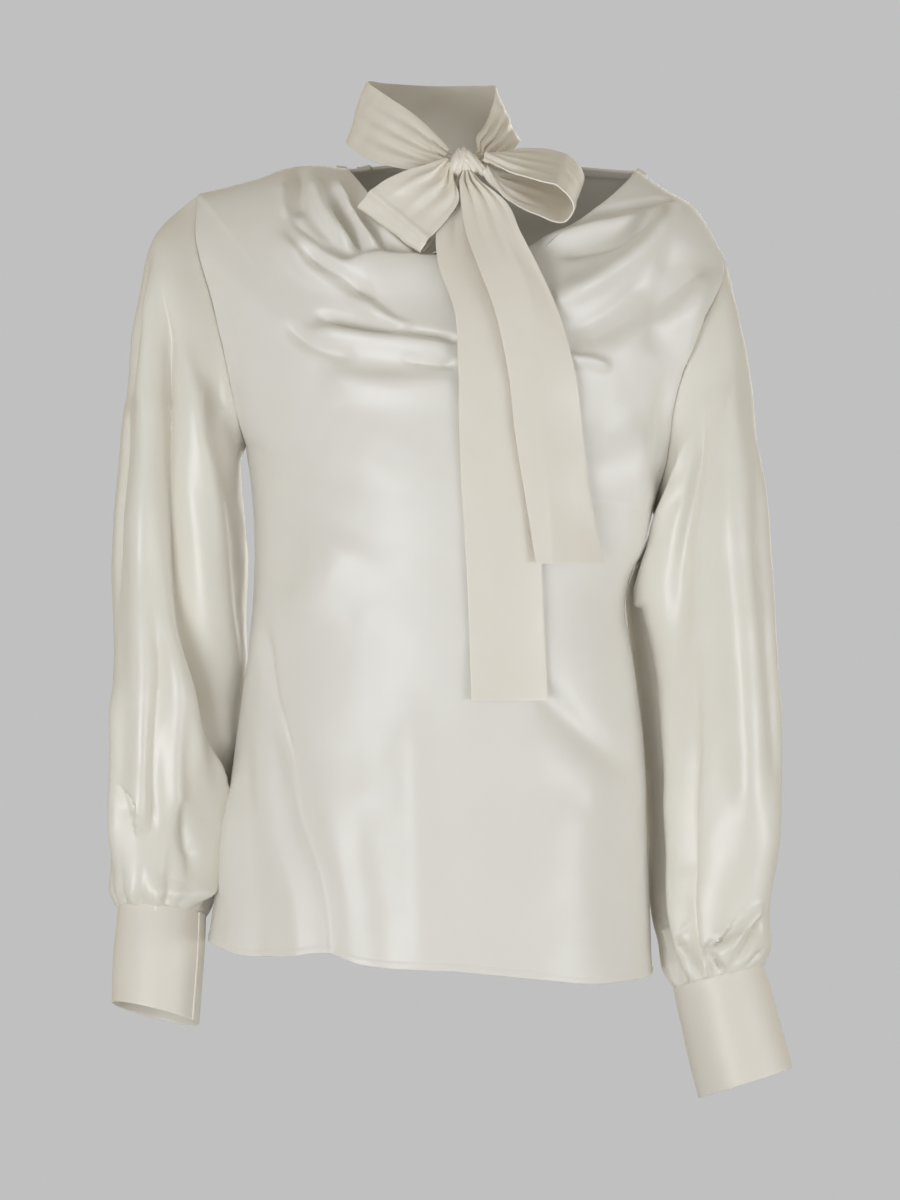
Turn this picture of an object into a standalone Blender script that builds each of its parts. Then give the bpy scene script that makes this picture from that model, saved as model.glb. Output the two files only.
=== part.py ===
"""Long-sleeved satin blouse with a draped neckline and a scarf tie in a bow, as worn.

Metres, +Z up; the tables below are in millimetres. The origin is the middle of the wearer's
shoulder line at the base of the neck, where the garment is held. The front faces -Y, and right
and left are the wearer's, so the right sleeve is at -X.
"""

import math

import bmesh
import bpy
import numpy as np

MM = 0.001
WALL = 1.2  # cloth wall
SEAM = 0.35  # gap between two pieces at a seam
PANEL_LIFT = 0.3  # how far front and back each stop short of the seam that they share
ARMHOLE_EASE = 2.1  # the same gap where the two walls meet at a sharp angle, as round an armhole
CLEAR = 0.35  # gap between a tie end and what it lies on
KNOT_CLEAR = 0.7  # from the knot to the middle of the walls that end at it

# Panel grids: across, then down the shoulder, the armhole and the side
FRONT_GRID = (24, 10, 10, 17)
BACK_GRID = (18, 4, 10, 8)
SLEEVE_GRID = (20, 15)  # round, along
CUFF_GRID = (20, 2)
BAND_GRID = (3, 26)  # across, along
LOOP_GRID = (3, 20)
TAIL_GRID = (2, 22)
SHOULDER_DOWN = 0.22  # share of a panel's height where its shoulder seam ends
UNDERARM_DOWN = 0.45  # and where its armhole ends

# The edge that front and back share. Columns: x, y, z
SHOULDER = {
    "right": [(-67, 12, -2), (-104, 11, 0), (-136, 10, -11), (-182, 8, -22)],
    "left": [(162, 12, -3), (181, 11, -17), (204, 10, -31), (230, 8, -72)],
}
# Columns: x, y of the front, y of the back, z
ARMHOLE = {
    "right": [
        (-182, 8, 8, -22),
        (-181, -24, 40, -62),
        (-168, -37, 54, -109),
        (-155, -41, 57, -164),
        (-149, -30, 44, -196),
        (-144, 2, 2, -218),
    ],
    "left": [
        (230, 8, 8, -72),
        (224, -22, 38, -96),
        (206, -37, 54, -132),
        (189, -42, 57, -181),
        (181, -30, 44, -236),
        (172, 2, 2, -267),
    ],
}
# Columns: x, y, z
SIDE = {
    "right": [
        (-144, 2, -218),
        (-138, 2, -264),
        (-137, 2, -318),
        (-141, 2, -372),
        (-149, 2, -432),
        (-159, 2, -505),
        (-166, 3, -560),
        (-172, 4, -602),
    ],
    "left": [
        (172, 2, -267),
        (162, 2, -301),
        (151, 2, -339),
        (158, 2, -390),
        (165, 2, -443),
        (168, 2, -510),
        (170, 3, -565),
        (172, 4, -628),
    ],
}

# Middle of a panel, from neck to hem. Columns: down, x, y, z, then how the row runs out to its
# two ends: round and fall on the right, round and fall on the left, and depth
FRONT_ROWS = [
    (0.00, 15, -89, -86, 1.6, 1.1, 1.8, 0.85, 1.00),
    (0.11, 12, -115, -126, 2.6, 1.4, 1.9, 0.95, 1.05),
    (0.22, 10, -127, -170, 2.2, 1.2, 2.0, 1.10, 1.35),
    (0.34, 8, -133, -214, 2.0, 1.1, 2.0, 1.10, 1.60),
    (0.45, 6, -135, -262, 2.0, 1.0, 2.0, 1.00, 1.05),
    (0.70, 4, -129, -430, 2.0, 1.0, 2.0, 1.00, 0.90),
    (1.00, 4, -137, -615, 1.0, 1.0, 1.0, 1.00, 0.88),
]
BACK_ROWS = [
    (0.00, 30, 67, 11, 2.0, 1.0, 2.0, 1.00, 0.95),
    (0.11, 26, 86, -30, 2.0, 1.0, 2.0, 1.00, 1.05),
    (0.22, 22, 98, -85, 2.0, 1.0, 2.0, 1.00, 1.30),
    (0.34, 18, 106, -160, 2.0, 1.0, 2.0, 1.00, 1.50),
    (0.45, 14, 106, -240, 2.0, 1.0, 2.0, 1.00, 1.15),
    (0.70, 8, 98, -425, 2.0, 1.0, 2.0, 1.00, 1.20),
    (1.00, 4, 128, -617, 1.5, 1.0, 1.5, 1.00, 1.10),
]

# The largest folds of a panel: height, width above and width below its line, then the line (x, z)
FRONT_FOLDS = [
    ("first_swag", 6, 17, 12, [(-100, -38), (-84, -58), (-60, -76), (-22, -88), (20, -92)]),
    ("first_hollow", -3, 13, 13, [(-86, -22), (-72, -40), (-58, -56), (-40, -70)]),
    ("second_swag", 6, 16, 16, [(-116, -62), (-90, -88), (-50, -112), (0, -128)]),
    ("second_hollow", -4, 14, 14, [(-104, -60), (-84, -80), (-48, -100), (-20, -108)]),
    ("third_swag", 6, 14, 22, [(-104, -130), (-60, -142), (0, -148)]),
    ("left_crest", 8, 12, 16, [(96, -104), (130, -88), (160, -64), (182, -42)]),
    ("left_hollow", -6, 12, 12, [(104, -68), (140, -66), (168, -52)]),
    ("hem_right", -7, 20, 20, [(-118, -420), (-104, -500), (-92, -560), (-80, -620)]),
    ("hem_left", 6, 26, 26, [(96, -440), (104, -540), (110, -640)]),
]
BACK_FOLDS = [
    ("neck_swag", 6, 16, 20, [(-60, -40), (20, -66), (110, -52)]),
    ("back_right", -6, 24, 24, [(-70, -380), (-84, -500), (-90, -620)]),
    ("back_left", 6, 26, 26, [(60, -400), (76, -520), (84, -620)]),
]

# Sleeve sections from under the armhole to the cuff. Columns: outer x, outer z, inner x,
# inner z, front y, back y, and how far the inner side lies back behind the body
SLEEVE_RINGS = {
    "right": [
        (-212, -51, -147.5, -226, -50, 56, 3),
        (-227, -109, -147.5, -246, -57, 62, 5),
        (-239, -205, -147, -288, -60, 64, 8),
        (-246, -300, -146.5, -345, -60, 62, 12),
        (-245.5, -390, -147, -404, -58, 56, 24),
        (-244.5, -450, -153.5, -458, -56, 50, 28),
        (-244.5, -505, -160.5, -508, -54, 42, 26),
        (-246, -548, -168, -550, -53, 32, 16),
    ],
    "left": [
        (236, -104, 175.5, -275, -50, 56, 5),
        (246, -160, 167, -298, -58, 62, 12),
        (257, -246, 154, -336, -60, 64, 24),
        (264, -320, 158, -382, -60, 60, 28),
        (270, -400, 165, -434, -58, 56, 30),
        (271.5, -462, 168.5, -486, -56, 50, 30),
        (269, -512, 171, -537, -54, 42, 28),
        (264, -562, 174, -590, -53, 32, 18),
    ],
}
# Folds of a sleeve: depth, width round the sleeve (degrees), then the line (share of the
# length, degrees round from the outer side towards the front)
SLEEVE_FOLDS = [
    ("long_hollow", -7, 16, [(0.12, 60), (0.34, 70), (0.60, 100)]),
    ("outer_ridge", 5, 16, [(0.20, 30), (0.55, 45), (0.85, 50)]),
    ("inner_ridge", 5, 18, [(0.20, 105), (0.50, 130), (0.80, 125)]),
    ("back_hollow", -7, 20, [(0.20, 230), (0.45, 245), (0.75, 260)]),
    ("back_ridge", 5, 20, [(0.25, 290), (0.60, 300), (0.85, 300)]),
]
# Cuff: outer and inner ends of its two rims (x, z), then the rims' middle y
CUFFS = {
    "right": {"top": (-242, -579, -175.5, -585, -13), "bottom": (-245.7, -650, -179.5, -666, -30)},
    "left": {"top": (257.7, -623.5, 189.5, -640.5, -13), "bottom": (278.6, -701, 208, -724, -24)},
}
CUFF_DEPTH = 37  # half of a cuff from front to back

# The tie is a strip 58 mm wide. Columns: one edge (x, y, z), then the other
TIE_BAND = [
    (11, -70, -12, 15, -72, 3),
    (-6, -64, -12, 5, -62, 15),
    (-30, -49, -7, -11, -47, 32),
    (-54, -24, 5, -34, -24, 51),
    (-66, 10, 20, -50, 4, 66),
    (-48, 50, 16, -36, 42, 70),
    (5, 69, 11.1, 3, 58, 70),
    (52, 50, 16, 41, 42, 68),
    (67, 10, 20, 51, 2, 60),
    (68, -28, 14, 46, -22, 38),
    (60, -50, 3, 40, -46, 22),
    (49, -66, -6, 35, -64, 11),
    (41, -72, -12, 36, -74, 2),
]
TIE_LOOPS = {
    "tie_loop_right": [
        (12, -84, -4, 15, -86, -15),
        (-3, -88, -10, 22, -96, -35),
        (-21, -90, -16, 14, -103, -51),
        (-37, -88, -24, 5, -105, -62),
        (-48, -86, -33, -3, -106, -71),
        (-55, -79, -41, -7, -102, -77),
        (-53, -71, -40, -6, -96, -77),
        (-38, -69, -33, 0, -92, -71),
        (-18, -70, -24, 7, -88, -58),
        (0, -72, -17, 13, -83, -40),
        (12, -76, -9, 15, -78, -19),
    ],
    "tie_loop_left": [
        (41, -90, -5, 41, -78, -3),
        (55, -97, -14, 56, -70, 2),
        (70, -102, -20, 72, -58, 6),
        (82, -104, -24, 88, -50, 6),
        (94, -105, -28, 103, -45, 2),
        (104, -105, -36, 115, -43, -6),
        (108, -104, -46, 118, -43, -17),
        (104, -103, -53, 113, -45, -23),
        (97, -102, -55, 99, -48, -21),
        (82, -101, -50, 80, -55, -16),
        (65, -99, -42, 61, -66, -13),
        (53, -96, -33, 50, -75, -13),
        (42, -91, -14, 41, -80, -11),
    ],
}
# Columns: z, x of its right edge, x of its left edge, y above the neckline or None where it
# lies on the front
TIE_TAILS = {
    "tie_tail_long": [
        (-20, 19, 33, -81),
        (-38, 12, 46, -85),
        (-59, 5, 53, -92),
        (-86, 6, 59, None),
        (-122, 18, 72, None),
        (-164, 21, 77, None),
        (-220, 22, 79, None),
        (-330, 28, 84, None),
        (-414, 31, 88, None),
    ],
    "tie_tail_short": [
        (-21, 22, 36, -89),
        (-38, 23, 56, -96),
        (-63, 27, 68, -106),
        (-87, 35, 80, None),
        (-116, 46, 93, None),
        (-163, 57, 107, None),
        (-220, 64, 115, None),
        (-270, 72, 122, None),
        (-312, 79, 131, None),
    ],
}
KNOT = {"middle": (27, -82, -8), "half": (12, 8.5, 9.5)}

# Columns: red, green, blue, roughness
FINISH = {
    "satin": (0.72, 0.70, 0.64, 0.42),
    "satin_sleeve": (0.70, 0.67, 0.58, 0.42),
    "satin_cuff": (0.76, 0.71, 0.61, 0.5),
    "satin_tie": (0.74, 0.69, 0.60, 0.5),
}


def through(knots, values, at):
    """Smooth curve through the rows of values at their knots."""
    knots = np.asarray(knots, float)
    values = np.asarray(values, float)
    slopes = np.gradient(values, knots, axis=0)
    at = np.asarray(at, float)
    row = np.clip(np.searchsorted(knots, at, side="right") - 1, 0, len(knots) - 2)
    span = knots[row + 1] - knots[row]
    t = (at - knots[row]) / span
    shape = t.shape + (1,) * (values.ndim - 1)
    t, span = t.reshape(shape), span.reshape(shape)
    start, end = values[row], values[row + 1]
    leave, arrive = slopes[row] * span, slopes[row + 1] * span
    return (
        start * (1 + 2 * t) * (1 - t) ** 2
        + end * t**2 * (3 - 2 * t)
        + leave * t * (1 - t) ** 2
        - arrive * t**2 * (1 - t)
    )


def along(rows, share):
    """A point of the line through the rows, at this share of its length."""
    rows = np.asarray(rows, float)
    steps = np.linalg.norm(np.diff(rows, axis=0), axis=1)
    knots = np.concatenate([[0], np.cumsum(steps)]) / steps.sum()
    return through(knots, rows, share)


def ease(value):
    value = np.clip(value, 0, 1)
    return value * value * (3 - 2 * value)


def armhole(side, face, share):
    """Points of the front or back half of an armhole, from the shoulder to under the arm."""
    table = np.asarray(ARMHOLE[side], float)
    columns = [0, 1, 3] if face == "front" else [0, 2, 3]
    return along(table[:, columns], share)


def panel_edge(side, face, down):
    """The end of each row of a panel: shoulder seam, armhole, then side seam."""
    lift = -PANEL_LIFT if face == "front" else PANEL_LIFT
    points = np.empty((len(down), 3))
    for i, place in enumerate(down):
        if place <= SHOULDER_DOWN:
            points[i] = along(SHOULDER[side], place / SHOULDER_DOWN)
        elif place <= UNDERARM_DOWN:
            share = (place - SHOULDER_DOWN) / (UNDERARM_DOWN - SHOULDER_DOWN)
            points[i] = armhole(side, face, share)
        else:
            share = (place - UNDERARM_DOWN) / (1 - UNDERARM_DOWN)
            points[i] = along(SIDE[side], share)
    points[:, 1] += lift
    return points


def folded(points, edge, folds, outward):
    """Moves the points of a panel out along its normal by the height of each fold there."""
    across = np.gradient(points, axis=1)
    downward = np.gradient(points, axis=0)
    normal = np.cross(across, downward)
    normal /= np.linalg.norm(normal, axis=2, keepdims=True)
    normal *= np.where(normal[..., 1:2] * outward > 0, 1, -1)
    flat = points[..., [0, 2]].reshape(-1, 2)
    height = np.zeros(len(flat))
    for _, rise, above, below, line in folds:
        path = along(line, np.linspace(0, 1, 25))
        near, place, over = nearest(flat, path)
        width = np.where(over, above, below)
        ends = ease(place / 0.22) * ease((1 - place) / 0.22)
        height += rise * np.exp(-((near / width) ** 2)) * ends
    height = height.reshape(points.shape[:2]) * edge
    return points + normal * height[..., None]


def nearest(flat, path):
    """Distance of each point from a line, how far along it that is, and whether it is above."""
    best = np.full(len(flat), np.inf)
    place = np.zeros(len(flat))
    over = np.zeros(len(flat), bool)
    for i in range(len(path) - 1):
        step = path[i + 1] - path[i]
        share = np.clip((flat - path[i]) @ step / (step @ step), 0, 1)
        away = flat - (path[i] + share[:, None] * step)
        gap = np.linalg.norm(away, axis=1)
        closer = gap < best
        best[closer] = gap[closer]
        place[closer] = (i + share[closer]) / (len(path) - 1)
        over[closer] = (step[0] * away[closer, 1] - step[1] * away[closer, 0]) > 0
    return best, place, over


def panel(face, rows, folds, grid):
    """Front or back panel: rows run from the right-hand edge through the middle to the left."""
    columns, shoulder, arm, side = grid
    lines = shoulder + arm + side
    places = [0, SHOULDER_DOWN, UNDERARM_DOWN, 1]
    down = np.interp(np.arange(lines + 1), [0, shoulder, shoulder + arm, lines], places)
    table = np.asarray(rows, float)
    middle = through(table[:, 0], table[:, 1:], down)
    turn = np.linspace(-1, 1, columns + 1)
    side_share = np.abs(np.sin(turn * math.pi / 2))
    facing = np.cos(turn * math.pi / 2)
    ends = {side: panel_edge(side, face, down) for side in ("right", "left")}
    points = np.empty((lines + 1, columns + 1, 3))
    for j in range(columns + 1):
        side = "right" if turn[j] < 0 else "left"
        end = ends[side]
        centre = middle[:, 0:3]
        roundness, fall = (middle[:, 3], middle[:, 4]) if side == "right" else (middle[:, 5], middle[:, 6])
        points[:, j, 0] = centre[:, 0] + (end[:, 0] - centre[:, 0]) * side_share[j]
        points[:, j, 1] = end[:, 1] + (centre[:, 1] - end[:, 1]) * facing[j] ** middle[:, 7]
        drop = np.maximum(1 - side_share[j] ** roundness, 0) ** fall
        points[:, j, 2] = end[:, 2] + (centre[:, 2] - end[:, 2]) * drop
    edge = np.tile(ease((1 - np.abs(turn)) / 0.18), (lines + 1, 1))
    return folded(points, edge, folds, -1 if face == "front" else 1)


def sleeve_rings(side, count):
    """The rings of a sleeve: armhole, sections, then the top of the cuff."""
    turn = np.linspace(0, 2 * math.pi, count, endpoint=False)
    outward = -1 if side == "right" else 1
    start = np.empty((count, 3))
    for i, angle in enumerate(turn):
        face = "front" if angle <= math.pi else "back"
        share = angle / math.pi if angle <= math.pi else 2 - angle / math.pi
        start[i] = armhole(side, face, share)
        start[i, 0] += outward * (SEAM + (ARMHOLE_EASE - SEAM) * ease(share * 8 + 0.2))
    rings = [start]
    for outer_x, outer_z, inner_x, inner_z, front, back, lean in SLEEVE_RINGS[side]:
        section = ring(turn, (outer_x, outer_z), (inner_x, inner_z), front, back, 0)
        section[:, 1] -= lean * np.cos(turn)
        rings.append(section)
    end = cuff_ring(side, turn, "top")
    end[:, 2] += SEAM + 0.2
    rings.append(end)
    return np.array(rings)


def ring(turn, outer, inner, front, back, lift):
    """An oval through its outer and inner ends (x, z) and its front and back depth."""
    swing, depth = np.cos(turn), np.sin(turn)
    middle = (np.array(outer) + inner) / 2
    half = (np.array(outer) - inner) / 2
    points = np.empty((len(turn), 3))
    points[:, 0] = middle[0] + half[0] * swing
    points[:, 1] = (front + back) / 2 + (front - back) / 2 * depth
    points[:, 2] = middle[1] + half[1] * swing + lift * depth
    return points


def cuff_ring(side, turn, rim):
    """A rim of a cuff, square to the cuff's own line, so that its front is a little higher."""
    outer_x, outer_z, inner_x, inner_z, middle = CUFFS[side][rim]
    top, bottom = CUFFS[side]["top"], CUFFS[side]["bottom"]
    slope = (bottom[4] - top[4]) / (bottom[1] - top[1])
    front, back = middle - CUFF_DEPTH, middle + CUFF_DEPTH
    return ring(turn, (outer_x, outer_z), (inner_x, inner_z), front, back, CUFF_DEPTH * slope)


def sleeve(side):
    count, lines = SLEEVE_GRID
    rings = sleeve_rings(side, count)
    middles = rings.mean(axis=1)
    steps = np.linalg.norm(np.diff(middles, axis=0), axis=1)
    knots = np.concatenate([[0], np.cumsum(steps)]) / steps.sum()
    share = np.linspace(0, 1, lines + 1)
    points = through(knots, rings, share)
    degrees = np.degrees(np.linspace(0, 2 * math.pi, count, endpoint=False))
    out = points - points.mean(axis=1, keepdims=True)
    out[..., 2] = 0
    out /= np.linalg.norm(out, axis=2, keepdims=True)
    height = np.zeros(points.shape[:2])
    ends = ease(share / 0.15) * ease((1 - share) / 0.1)
    for _, rise, width, line in SLEEVE_FOLDS:
        path = along(line, np.linspace(0, 1, 25))
        centre = np.interp(share, path[:, 0], path[:, 1])
        fade = ease((share - path[0, 0]) / 0.1 + 1) * ease((path[-1, 0] - share) / 0.1 + 1)
        apart = (degrees[None, :] - centre[:, None] + 180) % 360 - 180
        height += rise * (fade * ends)[:, None] * np.exp(-((apart / width) ** 2))
    return points + out * height[..., None]


def cuff(side):
    count, lines = CUFF_GRID
    turn = np.linspace(0, 2 * math.pi, count, endpoint=False)
    top, bottom = cuff_ring(side, turn, "top"), cuff_ring(side, turn, "bottom")
    share = np.linspace(0, 1, lines + 1)[:, None, None]
    return top + (bottom - top) * share


def ribbon(rows, grid):
    """A strip between two edges that the rows give."""
    columns, lines = grid
    table = np.asarray(rows, float).reshape(-1, 2, 3)
    steps = np.linalg.norm(np.diff(table.mean(axis=1), axis=0), axis=1)
    knots = np.concatenate([[0], np.cumsum(steps)]) / steps.sum()
    edges = through(knots, table, np.linspace(0, 1, lines + 1))
    share = np.linspace(0, 1, columns + 1)[None, :, None]
    points = edges[:, None, 0] + (edges[:, None, 1] - edges[:, None, 0]) * share
    points[[0, -1]] = at_knot(points[[0, -1]])
    return points


def at_knot(points):
    """The points moved straight in or out to where a tie end meets the knot."""
    out = (points - KNOT["middle"]) / (np.array(KNOT["half"]) + KNOT_CLEAR)
    return KNOT["middle"] + (points - KNOT["middle"]) / np.linalg.norm(out, axis=-1, keepdims=True)


def lying(rows, under, grid):
    """A strip that hangs on what is under it, as far out as the highest place near it."""
    columns, lines = grid
    table = np.array([[row[0], row[1], row[2]] for row in rows], float)
    free = [row[3] for row in rows if row[3] is not None]
    knots = (table[0, 0] - table[:, 0]) / (table[0, 0] - table[-1, 0])
    share = np.linspace(0, 1, lines + 1)
    edges = through(knots, table, share)
    free_knots = np.append(knots[: len(free)], knots[len(free)])
    points = np.empty((lines + 1, columns + 1, 3))
    spread = np.linspace(0, 1, columns + 1)
    points[..., 0] = edges[:, 1:2] + (edges[:, 2:3] - edges[:, 1:2]) * spread
    points[..., 2] = edges[:, 0:1]
    rest = np.array([min(foremost(under, *point[[0, 2]]) for point in row) for row in points])
    rest = eased_forward(rest) - WALL - CLEAR
    first = int(np.searchsorted(share, knots[len(free)]))
    hanging = np.interp(share[:first], free_knots, free + [rest[first]])
    points[..., 1] = np.concatenate([hanging, rest[first:]])[:, None]
    points[0] = at_knot(points[0])
    return points


def eased_forward(rest):
    """The same line of depths without its dips, never behind the line given."""
    padded = np.pad(rest, 2, mode="edge")
    least = np.minimum(np.minimum(padded[:-2], padded[1:-1]), padded[2:])
    return (least[:-2] + least[1:-1] + least[2:]) / 3


def foremost(under, x, z):
    """The most forward y of the points under within reach of a place, in plan of x and z."""
    reach = 17
    near = (np.abs(under[:, 0] - x) < reach) & (np.abs(under[:, 2] - z) < reach)
    return under[near, 1].min() if near.any() else under[:, 1].min()


def finish(name):
    red, green, blue, rough = FINISH[name]
    material = bpy.data.materials.get(name) or bpy.data.materials.new(name)
    material.use_nodes = True
    shader = material.node_tree.nodes["Principled BSDF"]
    shader.inputs["Base Color"].default_value = (red, green, blue, 1)
    shader.inputs["Roughness"].default_value = rough
    material.diffuse_color = (red, green, blue, 1)
    return material


def place(name, bm, material, collection):
    mesh = bpy.data.meshes.new(name)
    bm.to_mesh(mesh)
    bm.free()
    mesh.shade_smooth()
    mesh.materials.append(finish(material))
    obj = bpy.data.objects.new(name, mesh)
    collection.objects.link(obj)
    return obj


def cloth(name, points, closed, material, collection):
    """A thin wall on a grid of points. A closed grid joins its last column to its first."""
    lines, columns = points.shape[0] - 1, points.shape[1] - (0 if closed else 1)
    if closed:
        points = np.concatenate([points, points[:, :1]], axis=1)
    bm = bmesh.new()
    bmesh.ops.create_grid(bm, x_segments=columns, y_segments=lines, size=1)
    for vert, point in zip(bm.verts, points.reshape(-1, 3)):
        vert.co = point * MM
    if closed:
        bmesh.ops.remove_doubles(bm, verts=bm.verts, dist=1e-6)
    obj = place(name, bm, material, collection)
    wall = obj.modifiers.new("wall", "SOLIDIFY")
    wall.thickness = WALL * MM
    wall.offset = 0
    return obj


def knot(collection):
    """The knot is one rounded lump, wider than it is high."""
    bm = bmesh.new()
    bmesh.ops.create_uvsphere(bm, u_segments=14, v_segments=8, radius=1)
    half, middle = KNOT["half"], KNOT["middle"]
    for vert in bm.verts:
        vert.co = [(middle[i] + half[i] * vert.co[i]) * MM for i in range(3)]
    return place("tie_knot", bm, "satin_tie", collection)


def clear_scene():
    for obj in list(bpy.data.objects):
        bpy.data.objects.remove(obj, do_unlink=True)


def main():
    clear_scene()
    blouse = bpy.data.collections.new("blouse")
    bpy.context.scene.collection.children.link(blouse)
    front = panel("front", FRONT_ROWS, FRONT_FOLDS, FRONT_GRID)
    cloth("front", front, False, "satin", blouse)
    cloth("back", panel("back", BACK_ROWS, BACK_FOLDS, BACK_GRID), False, "satin", blouse)
    for side in ("right", "left"):
        cloth(f"sleeve_{side}", sleeve(side), True, "satin_sleeve", blouse)
        cloth(f"cuff_{side}", cuff(side), True, "satin_cuff", blouse)
    cloth("tie_band", ribbon(TIE_BAND, BAND_GRID), False, "satin_tie", blouse)
    for name, rows in TIE_LOOPS.items():
        cloth(name, ribbon(rows, LOOP_GRID), False, "satin_tie", blouse)
    under = front.reshape(-1, 3)
    for name, rows in TIE_TAILS.items():
        tail = lying(rows, under, TAIL_GRID)
        cloth(name, tail, False, "satin_tie", blouse)
        under = np.concatenate([under, tail.reshape(-1, 3)])
    knot(blouse)


main()
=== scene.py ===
# Satin blouse with a draped neck, full sleeves and a scarf tie in a bow, as worn.
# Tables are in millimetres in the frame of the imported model. Right and left are the wearer's.
import math

import bmesh
import bpy
import numpy as np
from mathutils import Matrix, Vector, noise


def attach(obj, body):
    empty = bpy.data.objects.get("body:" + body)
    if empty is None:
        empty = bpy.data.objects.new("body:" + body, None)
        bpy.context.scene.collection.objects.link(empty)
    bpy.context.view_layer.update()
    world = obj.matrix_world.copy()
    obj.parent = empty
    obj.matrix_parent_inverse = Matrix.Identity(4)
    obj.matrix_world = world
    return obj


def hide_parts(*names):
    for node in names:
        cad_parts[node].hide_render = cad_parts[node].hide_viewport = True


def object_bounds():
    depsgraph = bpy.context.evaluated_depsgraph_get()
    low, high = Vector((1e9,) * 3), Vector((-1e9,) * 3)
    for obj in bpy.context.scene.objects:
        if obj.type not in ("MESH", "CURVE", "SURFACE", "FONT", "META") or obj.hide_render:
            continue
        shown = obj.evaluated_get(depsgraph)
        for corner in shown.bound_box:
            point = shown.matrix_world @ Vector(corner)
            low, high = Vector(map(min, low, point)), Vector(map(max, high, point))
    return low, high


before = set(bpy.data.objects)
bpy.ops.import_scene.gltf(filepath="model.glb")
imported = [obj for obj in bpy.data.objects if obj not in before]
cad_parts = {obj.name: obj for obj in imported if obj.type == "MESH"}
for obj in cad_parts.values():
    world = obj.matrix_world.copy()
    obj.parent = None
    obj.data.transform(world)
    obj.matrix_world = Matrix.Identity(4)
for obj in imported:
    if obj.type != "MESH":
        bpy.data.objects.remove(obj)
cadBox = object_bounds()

mm = 0.001
print("frame loaded:", ", ".join(sorted(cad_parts)))


# Shared shaping tools

def through(knots, values, at):
    # smooth line through rows of values at their knots
    knots, values, at = (np.asarray(part, float) for part in (knots, values, at))
    slopes = np.gradient(values, knots, axis=0)
    row = np.clip(np.searchsorted(knots, at, side="right") - 1, 0, len(knots) - 2)
    span = knots[row + 1] - knots[row]
    t = (at - knots[row]) / span
    shape = t.shape + (1,) * (values.ndim - 1)
    t, span = t.reshape(shape), span.reshape(shape)
    bend = slopes[row] * span * t * (1 - t) ** 2 - slopes[row + 1] * span * t**2 * (1 - t)
    return values[row] * (1 + 2 * t) * (1 - t) ** 2 + values[row + 1] * t**2 * (3 - 2 * t) + bend


def lengthKnots(points):
    steps = np.linalg.norm(np.diff(np.asarray(points, float), axis=0), axis=1)
    return np.concatenate([[0], np.cumsum(steps)]) / steps.sum()


def along(rows, share):
    return through(lengthKnots(rows), rows, share)


def ease(value):
    value = np.clip(value, 0, 1)
    return value * value * (3 - 2 * value)


def bell(value):
    return np.exp(-(value**2))


def nearest(flat, path):
    # distance from a line, place along it and which side, for each point
    best = np.full(len(flat), np.inf)
    place = np.zeros(len(flat))
    over = np.zeros(len(flat), bool)
    for i in range(len(path) - 1):
        step = path[i + 1] - path[i]
        share = np.clip((flat - path[i]) @ step / (step @ step), 0, 1)
        away = flat - (path[i] + share[:, None] * step)
        gap = np.linalg.norm(away, axis=1)
        closer = gap < best
        best[closer] = gap[closer]
        place[closer] = (i + share[closer]) / (len(path) - 1)
        over[closer] = (step[0] * away[closer, 1] - step[1] * away[closer, 0]) > 0
    return best, place, over


def foldRise(flat, path, rise, over, under):
    # soft ridge or trough along a line, as wide as each side says, which fades out at both ends
    near, place, higher = nearest(flat, path)
    ends = ease(place / 0.25 + 0.02) * ease((1 - place) / 0.25 + 0.02)
    return rise * bell(near / np.where(higher, over, under)) * ends


def normalsOf(points, closed=False):
    if closed:
        wrapped = np.concatenate([points[:, -1:], points, points[:, :1]], axis=1)
        across = (wrapped[:, 2:] - wrapped[:, :-2]) / 2
    else:
        across = np.gradient(points, axis=1)
    normal = np.cross(across, np.gradient(points, axis=0))
    return normal / np.maximum(np.linalg.norm(normal, axis=2, keepdims=True), 1e-9)


def ripple(points, size, height, seed):
    # slow uneven swelling of a cloth, made from smooth noise at this size
    flat = points.reshape(-1, 3) / size
    offset = Vector((seed * 7.3, seed * 3.1, seed * 5.7))
    values = [noise.noise(Vector(point) + offset) for point in flat]
    return height * np.array(values).reshape(points.shape[:2])


def placeMesh(bm, name, material):
    mesh = bpy.data.meshes.new(name)
    bm.to_mesh(mesh)
    bm.free()
    mesh.materials.append(material)
    obj = bpy.data.objects.new(name, mesh)
    bpy.context.scene.collection.objects.link(obj)
    return obj


def wire(tree, rows):
    # each row is a node and its output, then the node that it runs to and the input there
    for giver, output, taker, socket in rows:
        tree.links.new(giver.outputs[output], taker.inputs[socket])


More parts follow.
